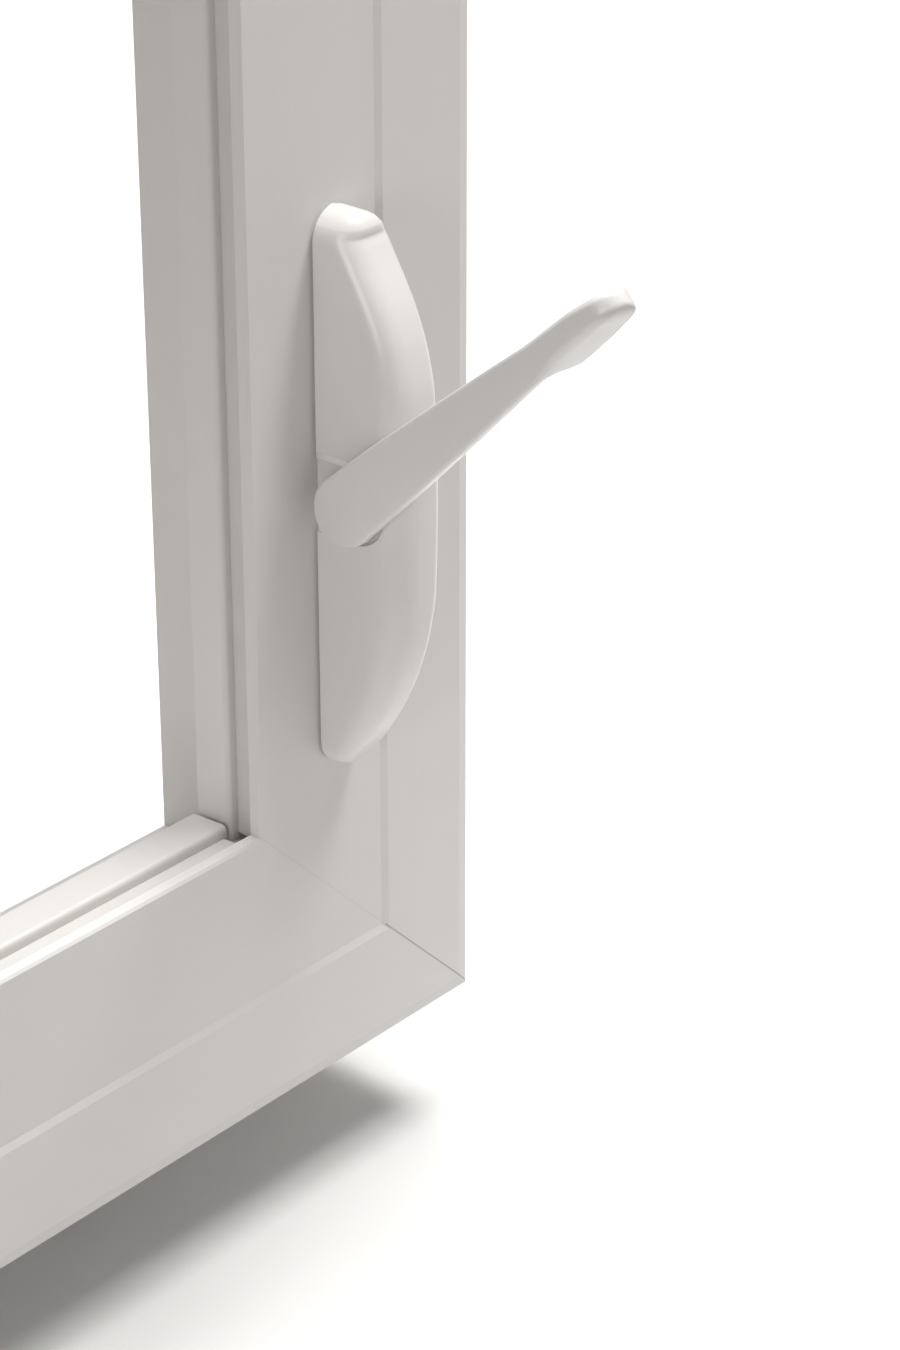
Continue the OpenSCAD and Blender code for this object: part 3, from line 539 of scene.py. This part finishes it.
class WINDOW_OT_lock_housing(bpy.types.Operator):
    """Build the bowed lock housing with its rounded front, capped top, hub recess and the bead over it"""
    bl_idname = "window.lock_housing"
    bl_label = "Lock housing"

    def execute(self, context):
        sizes = context.scene.window_sizes
        low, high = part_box("lock_housing")
        mid_x, back, mid_z = lock_middle()
        half = (high[2] - low[2]) / 2
        wide = (high[0] - low[0]) / 2
        deep = high[1] - low[1]
        # height above the middle, and how far the front stands out
        bow = [(-67.0, 4.0), (-62.5, 7.8), (-57.0, 11.8), (-49.0, 16.4), (-39.0, 20.6), (-29.0, 23.4),
               (-18.0, 25.0), (4.0, 25.5), (28.0, 24.6), (38.0, 22.6), (46.0, 19.7), (52.0, 16.6),
               (57.0, 13.6), (60.5, 11.6), (62.2, 10.6), (63.2, 10.7), (64.4, 10.4), (65.8, 9.2), (67.0, 7.2)]
        pivot = lever_pivot()[0]
        pivot_z = pivot.z - mid_z
        pivot_out = back - pivot.y
        reach = half - wide
        bow_half = bow[-1][0]
        rows, ends = 34, 4
        crease_rows = (60.4, 61.2, 61.8, 62.2, 62.7, 63.2, 63.9)
        end_angles = (0, 18, 35, 50, 63, 74, 82, 87)
        stations = sorted(
            [half * k / rows for k in range(ends - rows, rows - ends + 1)] + [z * MM for z in crease_rows]
            + [s * (reach + wide * sin(radians(a))) for s in (-1, 1) for a in end_angles])
        mesh = bmesh.new()
        rings = []
        for z in stations:
            past = max(abs(z) - reach, 0.0)
            w = sqrt(max(wide ** 2 - past ** 2, 1e-9))
            out = min(follow(bow, z * bow_half / half)[0] * MM, deep)
            r = min(sizes.housing_round, w * 0.95, out * 0.55)
            tight = r * 0.5
            ring = quarter(w - tight, -(out - tight), tight, 0) + quarter(-w + r, -(out - r), r, 90)
            edge = out - r
            gap, inset = min(0.7 * MM, edge * 0.4), min(0.9 * MM, w * 0.5)
            ring += [(-w, -edge * 0.66), (-w, -gap), (inset - w, -gap), (inset - w, 0.0)]
            ring += [(w - inset, 0.0), (w - inset, -gap), (w, -gap), (w, -edge * 0.7)]
            rings.append([(mid_x + px, back + py, mid_z + z) for px, py in ring])
        loft(mesh, rings)
        piece = finish_piece("lock_housing_shell", mesh, coated("Coated housing"), "frame", "coated_metal",
                             "lock_housing", sharp=40)
        # recess that the lever's hub sits in, with sloping walls
        cutter = bmesh.new()
        recess_r = 8.5
        rings = []
        for depth, grow in ((-1.0, 0.9), (0.0, 0.5), (1.15, 0.0)):
            r = (recess_r + grow) * MM
            ring = [(-(pivot_out + r * cos(radians(a))), r * sin(radians(a))) for a in range(0, -91, -10)]
            ring += [(MM, -r), (MM, r), (-pivot_out - r, r)]
            rings.append([(mid_x - wide + depth * MM, back + py, mid_z + pivot_z + pz) for py, pz in ring])
        loft(cutter, rings)
        carve(piece, cutter)
        # bead along the recess's upper edge
        bead = bmesh.new()
        bead_up = 8.9
        section = ((0.3, -0.15), (-0.2, -0.15), (-0.55, 0.05), (-0.6, 0.30), (-0.4, 0.7), (0.0, 1.5),
                   (0.3, 1.8))
        rings = []
        for out, size in ((0.8, 0.3), (1.6, 0.9), (4.0, 1.0), (11.0, 1.0), (16.0, 0.9), (17.6, 0.3)):
            rings.append([(mid_x - wide + px * size * MM, back - out * MM,
                           pivot.z + (bead_up + pz * size) * MM) for px, pz in section])
        loft(bead, rings)
        finish_piece("lock_housing_bead", bead, piece.data.materials[0], "frame", "coated_metal", sharp=80)
        return {"FINISHED"}


class WINDOW_OT_lock_lever(bpy.types.Operator):
    """Build the tapered lock lever with its round hub, narrow neck and wide thumb pad"""
    bl_idname = "window.lock_lever"
    bl_label = "Lock lever"

    def execute(self, context):
        sizes = context.scene.window_sizes
        pivot, face = lever_pivot()
        # the lever's rise from level at rest
        lean = radians(42.7)
        along = Vector((0, -cos(lean), sin(lean)))
        over = Vector((0, sin(lean), cos(lean)))
        # along the lever: lower edge at the outer side, lower edge at the housing's side, upper edge, width
        shape = [(0.0, -8.1, -8.1, 8.1, 3.9), (20.0, -7.0, -7.0, 7.5, 3.9), (46.0, -5.3, -5.3, 6.1, 3.9),
                 (62.0, -4.1, -4.1, 5.2, 3.9), (71.0, -3.4, -3.5, 4.6, 3.9), (73.0, -3.1, -3.6, 4.5, 4.4),
                 (75.0, -2.6, -4.3, 4.5, 9.4), (76.5, -2.2, -4.6, 4.5, 10.9), (80.0, -1.8, -4.6, 4.6, 11.0),
                 (86.0, -1.6, -4.3, 4.6, 11.0), (94.0, -1.5, -3.4, 4.0, 11.0)]
        mesh = bmesh.new()
        rings = []
        hub, end_from, end_round = 8.1, 93.0, 6.3
        rows = 72
        middle, slimming = 0.4, 0.55
        # distance along the lever, and the share of the full width there
        steps = [(-hub * cos(radians(a)), 1.0) for a in (6, 16, 27, 39, 51, 63, 76)]
        steps += [(end_from * k / rows, 1.0) for k in range(rows + 1)]
        steps += [(end_from + end_round * sin(radians(a)), cos(radians(a)))
                  for a in (12, 24, 36, 48, 60, 70, 78, 84)]
        for u, full in steps:
            near, far, top, width = follow(shape, max(u, 0.0))
            if u < 0:
                top = sqrt(hub ** 2 - u ** 2)
                near = far = -top
            r = sizes.lever_round / MM * (1.0 + min(max(u - 70, 0.0) / 12, 1.0))
            ring = []
            for px, v in rounded(0.0, width, far, top, min(r, (top - far) * 0.45)):
                low_here = near + (far - near) * px / width
                lift = (top - v) / (top - far)
                v = top + (low_here - top) * lift
                px = width / 2 + (px - width / 2) * full
                v = middle + (v - middle) * full ** slimming
                offset = Vector((px, 0, 0)) + u * along + v * over
                ring.append(Vector((face, pivot.y, pivot.z)) + MM * offset)
            rings.append(ring)
        loft(mesh, rings)
        # boss that sits in the housing's recess
        sides = 40
        boss = []
        for x, r in ((3.4, 7.3), (5.1, 7.3), (5.35, 7.0)):
            boss.append([Vector((face + x * MM, pivot.y + r * MM * cos(2 * pi * k / sides),
                                 pivot.z + r * MM * sin(2 * pi * k / sides))) for k in range(sides)])
        loft(mesh, boss)
        finish_piece("lock_lever_cast", mesh, coated("Coated lever"), "lever", "coated_metal",
                     "lock_lever", sharp=42)
        return {"FINISHED"}


class WINDOW_OT_operator_cover(bpy.types.Operator):
    """Build the rounded operator cover with its rounded front edge, and coat the crank"""
    bl_idname = "window.operator_cover"
    bl_label = "Operator cover and crank"

    def execute(self, context):
        sizes = context.scene.window_sizes
        low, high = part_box("operator_cover")
        mid_x, mid_z = (low[0] + high[0]) / 2, (low[2] + high[2]) / 2
        half_w, half_h = (high[0] - low[0]) / 2, (high[2] - low[2]) / 2
        deep = high[1] - low[1]
        r = sizes.cover_round
        mesh = bmesh.new()
        steps = [(0.0, 0.0), (deep * 0.4, 0.0), (deep - r, 0.0)]
        steps += [(deep - r + r * sin(radians(a)), r * (1 - cos(radians(a)))) for a in range(15, 91, 15)]
        rings = []
        for out, off in steps:
            w, h = half_w - off, half_h - off
            rings.append([(mid_x + px, high[1] - out, mid_z + pz)
                          for px, pz in rounded(-w, w, -h, h, h * 0.998, steps=10)])
        loft(mesh, rings)
        cover = coated("Coated cover")
        finish_piece("operator_cover_shell", mesh, cover, "frame", "coated_metal", "operator_cover", sharp=60)
        crank = coated("Coated crank")
        dress("crank_handle", crank)
        dress("crank_knob", crank)
        return {"FINISHED"}


class WINDOW_OT_studio(bpy.types.Operator):
    """Set up the pale floor, the soft lamps, the white surroundings and the camera"""
    bl_idname = "window.studio"
    bl_label = "Studio"

    def execute(self, context):
        studio = context.scene.window_studio
        scene = context.scene
        mesh = bmesh.new()
        bmesh.ops.create_grid(mesh, x_segments=4, y_segments=4, size=FLOOR_REACH)
        data = to_data("floor", mesh)
        floor = add_object("floor", data)
        floor.location = (0, 0, CAD_BOX[0][2] - FLOOR_GAP)
        look = Look("Pale floor", Specular_IOR_Level=0.1)
        tone = look.noise(3.0, 3.0)
        data.materials.append(look.feed(Base_Color=look.mix(tone, (0.76, 0.76, 0.76), (0.79, 0.79, 0.79)),
                                        Roughness=tone * 0.05 + 0.9))
        world = bpy.data.worlds.new("Surroundings")
        world.use_nodes = True
        background = world.node_tree.nodes["Background"]
        background.inputs["Color"].default_value = (1.0, 1.0, 1.0, 1)
        background.inputs["Strength"].default_value = studio.sky_strength
        scene.world = world
        for name, where, aim, size, spread, power in LAMPS:
            lamp = bpy.data.lights.new(name, "AREA")
            lamp.energy = getattr(studio, power)
            lamp.color = LAMP_COLOUR
            lamp.size = size
            lamp.spread = radians(spread)
            holder = add_object(name, lamp)
            holder.location = where
            holder.rotation_euler = (Vector(aim) - Vector(where)).to_track_quat("-Z", "Y").to_euler()
        lens = bpy.data.cameras.new("Camera")
        lens.lens = studio.focal_length
        lens.sensor_width = SENSOR_WIDTH
        lens.clip_start = CLIP_START
        eye = add_object("Camera", lens)
        eye.location = CAMERA_PLACE
        eye.rotation_euler = Vector(CAMERA_DIRECTION).to_track_quat("-Z", "Y").to_euler()
        scene.camera = eye
        scene.view_settings.view_transform = "Standard"
        return {"FINISHED"}


class WINDOW_PT_looks(bpy.types.Panel):
    """Sidebar panel with the steps in order"""
    bl_label = "Casement Window"
    bl_space_type = "VIEW_3D"
    bl_region_type = "UI"
    bl_category = "Window"

    def draw(self, context):
        for step in STEPS:
            self.layout.operator(step.bl_idname)
        for group in ("window_finish", "window_sizes", "window_studio"):
            settings = getattr(context.scene, group)
            box = self.layout.box()
            for name in type(settings).__annotations__:
                box.prop(settings, name)


GROUPS = {"window_finish": WindowFinish, "window_sizes": WindowSizes, "window_studio": WindowStudio}
STEPS = (WINDOW_OT_profiles, WINDOW_OT_glazing, WINDOW_OT_hardware, WINDOW_OT_lock_housing,
         WINDOW_OT_lock_lever, WINDOW_OT_operator_cover, WINDOW_OT_studio)


def register():
    for group in GROUPS.values():
        bpy.utils.register_class(group)
    for name, group in GROUPS.items():
        setattr(bpy.types.Scene, name, PointerProperty(type=group))
    for cls in STEPS + (WINDOW_PT_looks,):
        bpy.utils.register_class(cls)


def unregister():
    for cls in reversed(STEPS + (WINDOW_PT_looks,)):
        bpy.utils.unregister_class(cls)
    for name, group in GROUPS.items():
        delattr(bpy.types.Scene, name)
        bpy.utils.unregister_class(group)


def main():
    register()
    for step in STEPS:
        family, name = step.bl_idname.split(".")
        getattr(getattr(bpy.ops, family), name)()


if __name__ == "__main__":
    main()
